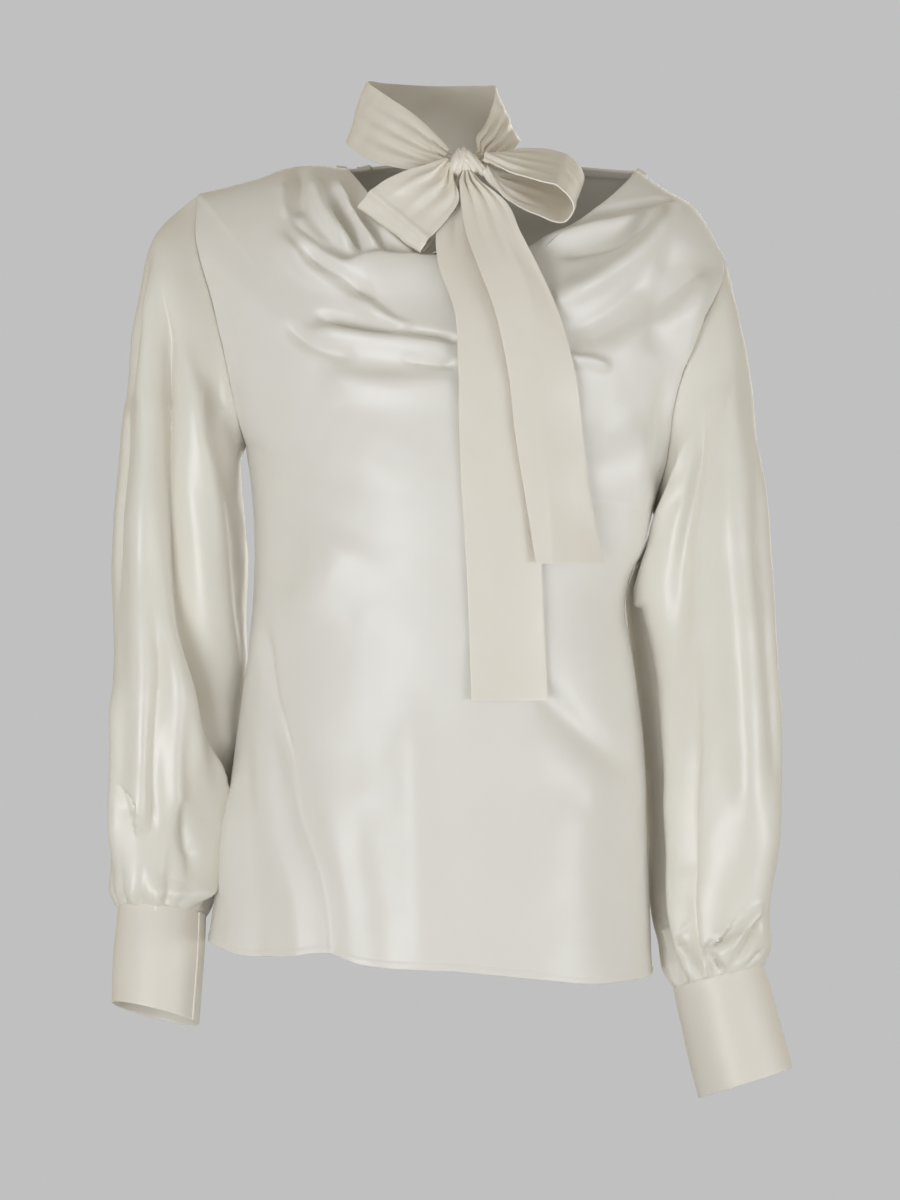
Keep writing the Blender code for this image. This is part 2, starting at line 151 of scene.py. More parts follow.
def makeCloth(name, points, closed, wall, material, roundEdge=0.25):
    # thin wall on a grid of points, with a UV map in metres along the cloth
    if closed:
        points = np.concatenate([points, points[:, :1]], axis=1)
    lines, columns = points.shape[0] - 1, points.shape[1] - 1
    bm = bmesh.new()
    bmesh.ops.create_grid(bm, x_segments=columns, y_segments=lines, size=1)
    acrossSteps = np.linalg.norm(np.diff(points, axis=1), axis=2).mean(axis=0)
    downSteps = np.linalg.norm(np.diff(points, axis=0), axis=2).mean(axis=1)
    u = np.concatenate([[0], np.cumsum(acrossSteps)]) * mm
    v = np.concatenate([[0], np.cumsum(downSteps)]) * mm
    uvLayer = bm.loops.layers.uv.new("cloth")
    bm.verts.ensure_lookup_table()
    for face in bm.faces:
        for loop in face.loops:
            row, column = divmod(loop.vert.index, columns + 1)
            loop[uvLayer].uv = (u[column], v[row])
    for vert, point in zip(bm.verts, points.reshape(-1, 3)):
        vert.co = point * mm
    if closed:
        bmesh.ops.remove_doubles(bm, verts=bm.verts, dist=1e-6)
    obj = placeMesh(bm, name, material)
    obj.data.shade_smooth()
    thicken = obj.modifiers.new("wall", "SOLIDIFY")
    thicken.thickness = wall * mm
    thicken.offset = 0
    thicken.use_rim = True
    edge = obj.modifiers.new("edge", "BEVEL")
    edge.width = roundEdge * mm
    edge.segments = 2
    edge.limit_method = "ANGLE"
    edge.angle_limit = math.radians(60)
    return obj


# Camera, light and floor

view = {
    "camera": (0.015, -2.8, -0.339),
    "lens": 107.7,
    "background": (0.527, 0.527, 0.527),
    "ambientFront": (0.42, 0.417, 0.408),  # the room as the cloth sees it, ahead and behind
    "ambientBehind": (0.40, 0.365, 0.29),
    "ambientFrom": (0.05, -0.74, -0.67),  # where the brighter half lies
    "ambientSpan": (-0.7, 0.9),  # how the one passes into the other
    "aimAbove": 0.1,  # how far above the middle of the blouse the lamps point
    "floorDrop": 0.52,
    "floorRadius": 2.4,
    "floorColour": (0.62, 0.62, 0.62),
    "floorRoughness": 0.8,
}
lamps = [
    # name, place (m), size (m), power (W), colour
    ("sideLeft", (-1.2, -2.4, -0.9), 1.1, 26, (0.94, 0.975, 1.02)),
    ("sideRight", (2.2, -1.3, -1.1), 1.2, 22, (0.94, 0.975, 1.02)),
    ("lowFront", (0.1, -2.1, -1.8), 1.3, 28, (0.94, 0.975, 1.02)),
    ("back", (0.4, 2.2, 0.3), 1.6, 14, (1.0, 0.98, 0.95)),
]


def makeRoom():
    # a plain grey backdrop for the camera, and a softly graded room for the cloth
    world = bpy.data.worlds.new("studio")
    world.use_nodes = True
    nodes = world.node_tree.nodes
    backdrop = nodes["Background"]
    backdrop.inputs["Color"].default_value = (*view["background"], 1)
    ambient = nodes.new("ShaderNodeBackground")
    toward = nodes.new("ShaderNodeTexCoord")
    facing = nodes.new("ShaderNodeVectorMath")
    facing.operation = "DOT_PRODUCT"
    facing.inputs[1].default_value = view["ambientFrom"]
    grade = nodes.new("ShaderNodeMapRange")
    grade.interpolation_type = "SMOOTHSTEP"
    grade.inputs["From Min"].default_value = view["ambientSpan"][0]
    grade.inputs["From Max"].default_value = view["ambientSpan"][1]
    tint = nodes.new("ShaderNodeMix")
    tint.data_type = "RGBA"
    tint.inputs["A"].default_value = (*view["ambientBehind"], 1)
    tint.inputs["B"].default_value = (*view["ambientFront"], 1)
    choose = nodes.new("ShaderNodeMixShader")
    seen = nodes.new("ShaderNodeLightPath")
    wire(world.node_tree, [
        (toward, "Generated", facing, 0), (facing, "Value", grade, "Value"),
        (grade, "Result", tint, "Factor"), (tint, "Result", ambient, "Color"),
        (seen, "Is Camera Ray", choose, "Fac"), (ambient, "Background", choose, 1),
        (backdrop, "Background", choose, 2), (choose, "Shader", nodes["World Output"], "Surface"),
    ])
    return world


def setStage():
    scene = bpy.context.scene
    scene.view_settings.view_transform = "Standard"
    scene.world = makeRoom()
    camera = bpy.data.objects.new("camera", bpy.data.cameras.new("camera"))
    camera.data.lens = view["lens"]
    camera.data.sensor_fit = "AUTO"
    camera.location = view["camera"]
    camera.rotation_euler = (math.pi / 2, 0, 0)
    scene.collection.objects.link(camera)
    scene.camera = camera
    aim = Vector((0, 0, (cadBox[0][2] + cadBox[1][2]) / 2 + view["aimAbove"]))
    for name, spot, size, power, colour in lamps:
        lamp = bpy.data.lights.new(name, "AREA")
        lamp.size = size
        lamp.energy = power
        lamp.color = colour
        holder = bpy.data.objects.new(name, lamp)
        holder.location = spot
        holder.rotation_euler = (aim - Vector(spot)).to_track_quat("-Z", "Y").to_euler()
        scene.collection.objects.link(holder)
    floor = makeFloor()


def makeFloor():
    material = bpy.data.materials.new("paleFloor")
    material.use_nodes = True
    shader = material.node_tree.nodes["Principled BSDF"]
    shader.inputs["Base Color"].default_value = (*view["floorColour"], 1)
    shader.inputs["Roughness"].default_value = view["floorRoughness"]
    bm = bmesh.new()
    bmesh.ops.create_circle(bm, cap_ends=True, segments=96, radius=view["floorRadius"])
    bmesh.ops.translate(bm, verts=bm.verts, vec=(0, 0, cadBox[0][2] - view["floorDrop"]))
    return placeMesh(bm, "floor", material)


setStage()
print("stage set")


# Satin

satins = {
    # colour, deeper colour that is painted warm shade laid in the hollows of the crumple, roughness, sheen,
    # size of the soft crumple (mm), its strength
    "satinBody": ((0.915, 0.895, 0.86), (0.89, 0.865, 0.80), 0.43, 0.12, 26, 0.08),
    "satinSleeve": ((0.91, 0.885, 0.825), (0.885, 0.855, 0.76), 0.38, 0.12, 22, 0.10),
    "satinCuff": ((0.92, 0.88, 0.81), (0.90, 0.85, 0.76), 0.46, 0.10, 30, 0.05),
    "satinTie": ((0.92, 0.875, 0.795), (0.90, 0.845, 0.74), 0.40, 0.10, 20, 0.06),
}
weave = {
    "floats": (2600, 180, 1),  # how fine the floats lie across and along the cloth
    "floatHeight": 0.02,
    "bump": 0.5,
    "bumpDistance": 0.004,
    "glossSpread": 0.05,
    "sheenRoughness": 0.4,
    "specular": 0.8,
    "crumpleShare": 0.7,  # how much of the painted shade follows the crumple and not the floats
}


def addSocket(group, name, direction, value=0.0):
    socket = group.interface.new_socket(name=name, in_out=direction, socket_type="NodeSocketFloat")
    socket.default_value = value


def addMath(group, operation, first, second):
    node = group.nodes.new("ShaderNodeMath")
    node.operation = operation
    wire(group, [(*first, node, 0), (*second, node, 1)])
    return node


def threadGroup():
    # fine lengthwise floats of the satin and its soft crumple, as one height and one mask that lays painted
    # shade where the height is low
    group = bpy.data.node_groups.new("satinThread", "ShaderNodeTree")
    addSocket(group, "Thread", "INPUT", 1.0)
    addSocket(group, "Crumple Scale", "INPUT", 40.0)
    addSocket(group, "Crumple", "INPUT", 0.1)
    addSocket(group, "Height", "OUTPUT")
    addSocket(group, "Shade", "OUTPUT")
    nodes = group.nodes
    source = nodes.new("NodeGroupInput")
    result = nodes.new("NodeGroupOutput")
    cloth = nodes.new("ShaderNodeUVMap")
    cloth.uv_map = "cloth"
    stretch = nodes.new("ShaderNodeMapping")
    stretch.inputs["Scale"].default_value = weave["floats"]
    floats = nodes.new("ShaderNodeTexNoise")
    floats.inputs["Scale"].default_value = 1.0
    floats.inputs["Detail"].default_value = 2.0
    place = nodes.new("ShaderNodeTexCoord")
    crumple = nodes.new("ShaderNodeTexNoise")
    crumple.inputs["Detail"].default_value = 3.0
    crumple.inputs["Roughness"].default_value = 0.45
    fine = addMath(group, "MULTIPLY", (floats, "Fac"), (source, "Thread"))
    broad = addMath(group, "MULTIPLY", (crumple, "Fac"), (source, "Crumple"))
    height = addMath(group, "ADD", (fine, 0), (broad, 0))
    shade = nodes.new("ShaderNodeMix")
    shade.data_type = "FLOAT"
    shade.inputs["Factor"].default_value = weave["crumpleShare"]
    wire(group, [
        (cloth, "UV", stretch, "Vector"), (stretch, "Vector", floats, "Vector"),
        (place, "Object", crumple, "Vector"), (source, "Crumple Scale", crumple, "Scale"),
        (floats, "Fac", shade, "A"), (crumple, "Fac", shade, "B"),
        (height, 0, result, "Height"), (shade, "Result", result, "Shade"),
    ])
    return group


satinThread = threadGroup()


def makeSatin(name):
    colour, paintedShade, rough, sheen, crumpleSize, crumple = satins[name]
    material = bpy.data.materials.new(name)
    material.use_nodes = True
    nodes = material.node_tree.nodes
    shader = nodes["Principled BSDF"]
    thread = nodes.new("ShaderNodeGroup")
    thread.node_tree = satinThread
    thread.inputs["Thread"].default_value = weave["floatHeight"]
    thread.inputs["Crumple Scale"].default_value = 1000 / crumpleSize
    thread.inputs["Crumple"].default_value = crumple
    # the deeper colour is painted shade, mixed in where the crumple and float bump is low
    tone = nodes.new("ShaderNodeMix")
    tone.data_type = "RGBA"
    tone.inputs["A"].default_value = (*paintedShade, 1)
    tone.inputs["B"].default_value = (*colour, 1)
    gloss = nodes.new("ShaderNodeMapRange")
    gloss.inputs["To Min"].default_value = rough - weave["glossSpread"]
    gloss.inputs["To Max"].default_value = rough + weave["glossSpread"]
    bump = nodes.new("ShaderNodeBump")
    bump.inputs["Strength"].default_value = weave["bump"]
    bump.inputs["Distance"].default_value = weave["bumpDistance"]
    wire(material.node_tree, [
        (thread, "Shade", tone, "Factor"), (tone, "Result", shader, "Base Color"),
        (thread, "Shade", gloss, "Value"), (gloss, "Result", shader, "Roughness"),
        (thread, "Height", bump, "Height"), (bump, "Normal", shader, "Normal"),
    ])
    shader.inputs["Sheen Weight"].default_value = sheen
    shader.inputs["Sheen Roughness"].default_value = weave["sheenRoughness"]
    shader.inputs["Specular IOR Level"].default_value = weave["specular"]
    return material


materials = {name: makeSatin(name) for name in satins}
print("satins made")


def dress(piece, material, node, **cut):
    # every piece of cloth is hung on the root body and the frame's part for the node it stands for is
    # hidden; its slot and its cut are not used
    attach(piece, "root")
    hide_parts(node)


# Body: one front and one back, which meet at the shoulders and sides

seams = {
    # x, y, z from the neck point to the shoulder point
    "shoulder": {
        "right": [(-67, 12, -2), (-104, 11, 0), (-136, 10, -11), (-182, 8, -22)],
        "left": [(162, 12, -3), (181, 11, -17), (204, 10, -31), (230, 8, -72)],
    },
    # x, y of the front, y of the back, z from the shoulder point to under the arm
    "armhole": {
        "right": [
            (-182, 8, 8, -22), (-181, -24, 40, -62), (-168, -37, 54, -109),
            (-155, -41, 57, -164), (-149, -30, 44, -196), (-144, 2, 2, -218),
        ],
        "left": [
            (230, 8, 8, -72), (224, -22, 38, -96), (206, -37, 54, -132),
            (189, -42, 57, -181), (181, -30, 44, -236), (172, 2, 2, -267),
        ],
    },
    # x, y, z from under the arm to the hem
    "side": {
        "right": [
            (-144, 2, -218), (-138, 2, -264), (-137, 2, -318), (-141, 2, -372),
            (-149, 2, -432), (-159, 2, -505), (-166, 3, -560), (-172, 4, -602),
        ],
        "left": [
            (172, 2, -267), (162, 2, -301), (151, 2, -339), (158, 2, -390),
            (165, 2, -443), (168, 2, -510), (170, 3, -565), (172, 4, -628),
        ],
    },
    # how far down a panel the shoulder point, the underarm and the top of the hem lie
    "shoulderDown": 0.22,
    "underarmDown": 0.45,
    "hemDown": 0.984,
}

# rows down the middle: down, x, y, z, then how the row runs out to the right (round, fall),
# to the left (round, fall), and how deep it is
front = {
    "rows": [
        (0.00, 15, -89, -86, 1.6, 1.1, 1.8, 0.85, 1.00),
        (0.11, 12, -115, -126, 2.6, 1.4, 1.9, 0.95, 1.05),
        (0.22, 10, -127, -170, 2.2, 1.2, 2.0, 1.10, 1.35),
        (0.34, 8, -133, -214, 2.0, 1.1, 2.0, 1.10, 1.60),
        (0.45, 6, -135, -262, 2.0, 1.0, 2.0, 1.00, 1.05),
        (0.70, 4, -129, -430, 2.0, 1.0, 2.0, 1.00, 0.90),
        (1.00, 4, -137, -615, 1.0, 1.0, 1.0, 1.00, 0.88),
    ],
    "columns": 186,
    "crowd": 0.35,  # how much closer the columns lie in the middle than at the sides
    "lines": (80, 58, 72, 14),  # down the shoulder, the armhole, the side and the hem
    "wall": 0.8,
    "strength": 1.25,  # how much deeper the folds lie than their heights say
    # height, width above and below the line, then the line in x and z
    "folds": [
        ("shoulderTrough", -8, 6, 6, [(-104, 6), (-103, -12), (-102, -28), (-99, -50)]),
        ("troughLip", 3, 3, 3, [(-112, -16), (-112, -34), (-109, -50)]),
        ("cowlEdge", 9, 3.5, 15, [(-112, -44), (-102, -60), (-88, -74), (-74, -83), (-62, -88),
                                  (-50, -83), (-38, -82), (-21, -84), (6, -86), (44, -88)]),
        ("cowlGleam", 4, 4, 4, [(-101, -46), (-90, -62), (-76, -76)]),
        ("cowlRollOuter", 8, 4.5, 5, [(-94, -10), (-88, -27), (-79, -47), (-66, -64), (-54, -79)]),
        ("cowlHollow", -9, 5, 4, [(-78, -26), (-70, -42), (-60, -60), (-50, -78)]),
        ("cowlRollInner", 8, 4, 4, [(-76, -14), (-66, -34), (-54, -54), (-42, -72), (-34, -82)]),
        ("neckHollow", -5, 3.5, 3.5, [(-62, -34), (-50, -52), (-38, -68), (-26, -82)]),
        ("neckRidge", 4, 4, 4, [(-42, -52), (-30, -64), (-20, -73), (-8, -84)]),
        ("swag", 7, 4, 8, [(-116, -56), (-106, -72), (-91, -88), (-66, -102), (-48, -118),
                           (-28, -131), (-8, -135)]),
        ("swagHollow", -8, 7, 6, [(-100, -74), (-86, -86), (-70, -98), (-54, -108), (-40, -116)]),
        ("cowlBelly", 5, 13, 14, [(-58, -98), (-20, -100), (30, -104)]),
        ("secondSwag", 7, 5, 12, [(-100, -140), (-80, -138), (-60, -140), (-22, -146), (25, -152)]),
        ("secondHollow", -7, 4.5, 4, [(-90, -124), (-64, -132), (-34, -137), (-14, -137)]),
        ("tuckUpper", -4, 3, 3, [(-18, -138), (4, -142), (24, -146)]),
        ("tuckLower", -4, 3.5, 3.5, [(-22, -160), (2, -163), (22, -164)]),
        ("smallTrough", -4, 5, 5, [(-112, -128), (-98, -142), (-78, -152), (-52, -158)]),
        ("thirdSwag", 4, 8, 14, [(-86, -170), (-50, -176), (-10, -178), (26, -178)]),
        ("leftRoll", 6, 5, 6, [(74, -72), (100, -64), (122, -57), (145, -52), (167, -42)]),
        ("leftRollGroove", -4, 3, 3, [(120, -46), (150, -38), (190, -30)]),
        ("leftHollow", -7, 5, 4.5, [(92, -80), (117, -74), (141, -68), (161, -54), (176, -37)]),
        ("leftSwag", 10, 9, 8, [(84, -124), (98, -115), (119, -103), (135, -92), (150, -81),
                                (168, -64), (179, -48), (192, -30)]),
        ("leftSwagShade", -5, 8, 14, [(96, -142), (125, -130), (150, -112), (174, -86)]),
        ("leftLedge", 5, 3, 5, [(88, -152), (104, -158), (124, -160), (138, -166)]),
        ("armRidge", 4, 9, 9, [(209, -78), (204, -109), (199, -139), (193, -168)]),
        ("armHollow", -5, 10, 10, [(190, -60), (178, -108), (167, -156)]),
        ("sideLens", 5, 13, 13, [(160, -196), (157, -262), (150, -322)]),
        ("armpitHollow", -5, 8, 8, [(184, -165), (178, -209), (168, -262)]),
        ("chestDiagonal", -3, 14, 14, [(150, -190), (118, -240), (100, -300)]),
        ("sideCrease", -5, 4.5, 4.5, [(-126, -352), (-122, -400), (-112, -450), (-104, -480)]),
        ("hipTrough", -6, 15, 4.5, [(-119, -400), (-113, -440), (-107, -475), (-99, -508), (-86, -540),
                                    (-78, -580), (-76, -640), (-75, -700)]),
        ("hipRidge", 4, 9, 12, [(-134, -410), (-126, -460), (-116, -515), (-102, -560), (-96, -620),
                                (-94, -690)]),
        ("hipSide", -3, 9, 9, [(-142, -440), (-136, -520), (-130, -600), (-128, -680)]),
        ("hipShade", -3, 14, 14, [(-62, -480), (-52, -550), (-46, -640), (-44, -700)]),
        ("longFold", 3, 14, 14, [(-18, -400), (-12, -480), (-8, -560), (-8, -625)]),
        ("hipDiagonal", -4, 10, 11, [(72, -395), (108, -432), (140, -458), (166, -476)]),
        ("hipDiagonalRidge", 1.5, 14, 14, [(62, -430), (100, -464), (140, -486)]),
        ("waistDiagonal", 4, 22, 22, [(-108, -358), (-83, -320), (-58, -284)]),
        ("sideSoft", -3, 14, 14, [(-128, -262), (-106, -300), (-112, -346)]),
        ("hemFlareLeft", 3, 30, 30, [(92, -470), (102, -540), (108, -640)]),
        ("hemDipLeft", -2, 24, 24, [(140, -480), (146, -560), (148, -640)]),
        ("hemFlareRight", 4, 16, 16, [(-146, -480), (-146, -540), (-142, -625)]),
    ],
}
back = {
    "rows": [
        (0.00, 30, 67, 11, 2.0, 1.0, 2.0, 1.00, 0.95),
        (0.11, 26, 86, -30, 2.0, 1.0, 2.0, 1.00, 1.05),
        (0.22, 22, 98, -85, 2.0, 1.0, 2.0, 1.00, 1.30),
        (0.34, 18, 106, -160, 2.0, 1.0, 2.0, 1.00, 1.50),
        (0.45, 14, 106, -240, 2.0, 1.0, 2.0, 1.00, 1.15),
        (0.70, 8, 98, -425, 2.0, 1.0, 2.0, 1.00, 1.20),
        (1.00, 4, 128, -617, 1.5, 1.0, 1.5, 1.00, 1.10),
    ],
    "columns": 120,
    "crowd": 0.0,
    "strength": 1.0,
    "lines": (34, 48, 60, 14),
    "wall": 0.8,
    "folds": [
        ("neckSwag", 4, 10, 14, [(-62, -34), (24, -52), (120, -40)]),
        ("neckHollow", -3, 9, 9, [(-70, -58), (24, -76), (130, -62)]),
        ("bladeRight", 4, 14, 18, [(-150, -80), (-110, -130), (-70, -170)]),
        ("bladeLeft", 4, 14, 18, [(200, -110), (150, -150), (96, -186)]),
        ("yokeDrape", -4, 12, 12, [(-110, -180), (10, -206), (128, -200)]),
        ("waistRight", 5, 16, 16, [(-112, -350), (-70, -330), (-20, -324)]),
        ("waistRightShade", -4, 12, 12, [(-108, -374), (-64, -356), (-10, -350)]),
        ("waistLeft", 5, 16, 16, [(132, -330), (90, -352), (44, -360)]),
        ("waistLeftShade", -4, 12, 12, [(140, -352), (96, -378), (48, -384)]),
        ("skirtRight", -6, 20, 20, [(-66, -390), (-82, -500), (-88, -620)]),
        ("skirtRightRidge", 5, 18, 18, [(-116, -430), (-128, -520), (-130, -620)]),
        ("skirtMiddle", 5, 22, 22, [(-6, -400), (-2, -500), (6, -620)]),
        ("skirtLeft", -6, 20, 20, [(66, -400), (82, -510), (90, -625)]),
        ("skirtLeftRidge", 5, 18, 18, [(118, -420), (130, -520), (134, -625)]),
    ],
}
panelCloth = {
    "swell": (70, 2.2),  # size and height of the slow swelling and of the fine crinkle
    "crinkle": (16, 0.35),
    "seamDepth": 0.9,
    "seamWidth": 1.6,
    "flatAtSeam": 0.16,  # share of the half width over which the folds die out at a side
    "halfWidth": 200,
}
hem = {
    "depth": 4.5,
    "step": 0.35,
    "stitch": 0.3,
    "roll": 0.6,
    # where the hem rides up a little: x, width, height, and how far up the panel follows
    "waves": [(-80, 20, 7), (-140, 16, -3), (20, 40, 2), (120, 30, -3)],
    "waveReach": 90,
}
neckEdge = {"roll": 1.1, "return": 7}


def armholePoint(side, face, share):
    table = np.asarray(seams["armhole"][side], float)
    return along(table[:, [0, 1, 3] if face == "front" else [0, 2, 3]], share)


def panelEdge(side, face, down):
    points = np.empty((len(down), 3))
    first, second = seams["shoulderDown"], seams["underarmDown"]
    for i, place in enumerate(down):
        if place <= first:
            points[i] = along(seams["shoulder"][side], place / first)
        elif place <= second:
            points[i] = armholePoint(side, face, (place - first) / (second - first))
        else:
            points[i] = along(seams["side"][side], (place - second) / (1 - second))
    return points


def panelDown(lines):
    shoulder, arm, side, _ = lines
    marks = [0, shoulder, shoulder + arm, shoulder + arm + side, sum(lines)]
    places = [0, seams["shoulderDown"], seams["underarmDown"], seams["hemDown"], 1]
    return np.interp(np.arange(sum(lines) + 1), marks, places)


def foldHeight(points, folds):
    flat = points[..., [0, 2]].reshape(-1, 2)
    height = np.zeros(len(flat))
    for _, rise, above, below, line in folds:
        height += foldRise(flat, along(line, np.linspace(0, 1, 31)), rise, above, below)
    return height.reshape(points.shape[:2])


def panelBase(face, spec):
    down = panelDown(spec["lines"])
    table = np.asarray(spec["rows"], float)
    middle = through(table[:, 0], table[:, 1:], down)
    turn = np.linspace(-1, 1, spec["columns"] + 1)
    turn -= spec["crowd"] / math.pi * np.sin(turn * math.pi)
    sideShare = np.abs(np.sin(turn * math.pi / 2))
    facing = np.cos(turn * math.pi / 2)
    ends = {side: panelEdge(side, face, down) for side in ("right", "left")}
    points = np.empty((len(down), len(turn), 3))
    for j in range(len(turn)):
        end = ends["right" if turn[j] < 0 else "left"]
        roundness, fall = (middle[:, 3], middle[:, 4]) if turn[j] < 0 else (middle[:, 5], middle[:, 6])
        points[:, j, 0] = middle[:, 0] + (end[:, 0] - middle[:, 0]) * sideShare[j]
        points[:, j, 1] = end[:, 1] + (middle[:, 1] - end[:, 1]) * facing[j] ** middle[:, 7]
        drop = np.maximum(1 - sideShare[j] ** roundness, 0) ** fall
        points[:, j, 2] = end[:, 2] + (middle[:, 2] - end[:, 2]) * drop
    return points, turn


def outwardNormals(points, facing):
    normal = normalsOf(points)
    return normal * np.where(normal[..., 1:2] * facing > 0, 1, -1)


def panelPoints(face, spec, seed):
    points, turn = panelBase(face, spec)
    facing = -1 if face == "front" else 1
    nearHem = ease(1 - (points[..., 2] - points[-1:, :, 2]) / hem["waveReach"])
    for x, width, height in hem["waves"]:
        points[..., 2] += height * bell((points[..., 0] - x) / width) * nearHem
    normal = outwardNormals(points, facing)
    edge = ease((1 - np.abs(turn)) / panelCloth["flatAtSeam"])
    height = foldHeight(points, spec["folds"]) * spec["strength"] * edge
    height += ripple(points, *panelCloth["swell"], seed) * edge
    points = points + normal * height[..., None]
    # fine crinkle, then the seam line, drawn in a little where the pieces are sewn
    normal = outwardNormals(points, facing)
    small = ripple(points, *panelCloth["crinkle"], seed + 1)
    fromSeam = (1 - np.abs(turn)) * panelCloth["halfWidth"]
    small -= panelCloth["seamDepth"] * bell(fromSeam / panelCloth["seamWidth"])
    points = points + normal * small[..., None]
    return turnEdges(points, facing)


def turnEdges(points, facing):
    # the neck edge rolls in and the hem is a narrow turned band with a row of stitches
    normal = outwardNormals(points, facing)
    fromHem = np.linalg.norm(points - points[-1:], axis=2)
    band = hem["step"] * (1 - ease((fromHem - hem["depth"]) / 0.5 + 0.5))
    band -= hem["stitch"] * bell((fromHem - hem["depth"] + 0.6) / 0.35)
    points = points + normal * band[..., None]
    rollIn = edgeRoll(points[0], points[0] - points[2], normal[0], neckEdge["roll"], neckEdge["return"])
    rollUp = edgeRoll(points[-1], points[-1] - points[-3], normal[-1], hem["roll"], hem["depth"] * 0.8)
    return np.concatenate([rollIn[::-1], points, rollUp])


def edgeRoll(edge, outOfCloth, normal, radius, back):
    outOfCloth = outOfCloth / np.linalg.norm(outOfCloth, axis=1, keepdims=True)
    rows = []
    for angle in np.linspace(0, math.pi, 7)[1:]:
        rows.append(edge + outOfCloth * radius * math.sin(angle) - normal * radius * (1 - math.cos(angle)))
    rows += [rows[-1] - outOfCloth * back * share for share in (0.35, 0.7, 1.0)]
    return np.array(rows)


frontPoints = panelPoints("front", front, 3)
frontPiece = makeCloth("front", frontPoints, False, front["wall"], materials["satinBody"])
dress(frontPiece, "satinBody", "front", flat=(0.54, 0.70), area=0.30, held="draped", rests_on=["back"])
backPoints = panelPoints("back", back, 8)
backPiece = makeCloth("back", backPoints, False, back["wall"], materials["satinBody"])
dress(backPiece, "satinBody", "back", flat=(0.50, 0.66), area=0.27, held="draped", rests_on=["front"])
print("body made")


# Sleeves and cuffs

